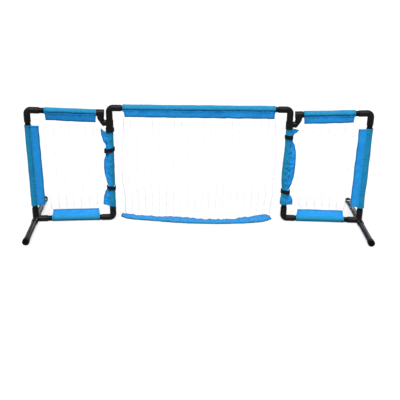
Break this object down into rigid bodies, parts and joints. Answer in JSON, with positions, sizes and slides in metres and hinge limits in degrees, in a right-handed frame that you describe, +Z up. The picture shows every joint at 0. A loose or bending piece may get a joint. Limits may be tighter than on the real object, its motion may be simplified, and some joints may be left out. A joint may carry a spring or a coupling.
{
  "type": "folding play net",
  "caption": "Free-standing low play net: plastic tube frame on cross feet, two side wings that swing on their posts, blue cloth sleeves and white netting.",
  "frame": {"origin": "on the floor under the middle of the net, on the line through both corner hubs", "axes": "+X along the net to the right as seen from the front, +Z up, -Y towards the front"},
  "size_m": [1.554, 0.5286, 0.5375],
  "materials": {
    "tube_black": "drawn black plastic tube with a soft gloss and faint lengthwise streaks",
    "fitting_black": "injection moulded black plastic with a fine satin grain",
    "cap_black": "moulded black plastic, scuffed a little at its rim",
    "cloth_blue": "light woven polyester, puckered along its seams",
    "net_white": "fine knotted white cord",
    "strap_black": "woven hook-and-loop tape"
  },
  "bodies": {
    "middle_panel": {"middle_left_elbow": "fitting_black", "middle_right_elbow": "fitting_black", "middle_rail": "tube_black", "middle_sleeve": "cloth_blue", "middle_net": "net_white", "middle_hem": "cloth_blue"},
    "left_wing": {"left_outer_top_elbow": "fitting_black", "left_inner_bottom_elbow": "fitting_black", "left_corner_hub": "fitting_black", "left_offset_tee": "fitting_black", "left_inner_post": "tube_black", "left_outer_post": "tube_black", "left_bottom_rail": "tube_black", "left_top_rail": "tube_black", "left_front_foot": "tube_black", "left_front_foot_cap": "cap_black", "left_rear_foot": "tube_black", "left_rear_foot_cap": "cap_black", "left_top_sleeve": "cloth_blue", "left_outer_sleeve": "cloth_blue", "left_bottom_sleeve": "cloth_blue", "left_inner_wrap": "cloth_blue", "left_net": "net_white", "left_upper_strap": "strap_black", "left_middle_strap": "strap_black", "left_lower_strap": "strap_black"},
    "right_wing": {"right_outer_top_elbow": "fitting_black", "right_inner_bottom_elbow": "fitting_black", "right_corner_hub": "fitting_black", "right_offset_tee": "fitting_black", "right_inner_post": "tube_black", "right_outer_post": "tube_black", "right_bottom_rail": "tube_black", "right_top_rail": "tube_black", "right_front_foot": "tube_black", "right_front_foot_cap": "cap_black", "right_rear_foot": "tube_black", "right_rear_foot_cap": "cap_black", "right_top_sleeve": "cloth_blue", "right_outer_sleeve": "cloth_blue", "right_bottom_sleeve": "cloth_blue", "right_inner_wrap": "cloth_blue", "right_net": "net_white", "right_upper_strap": "strap_black", "right_lower_strap": "strap_black"}
  },
  "joints": [
    {"name": "left_wing_swing", "type": "hinge", "parent": "middle_panel", "child": "left_wing", "pos_m": [-0.395, 0.02441, 0], "axis": [0, 0, 1], "range_deg": [-104, 106]},
    {"name": "right_wing_swing", "type": "hinge", "parent": "middle_panel", "child": "right_wing", "pos_m": [0.395, 0.02441, 0], "axis": [0, 0, -1], "range_deg": [-104, 106]}
  ]
}
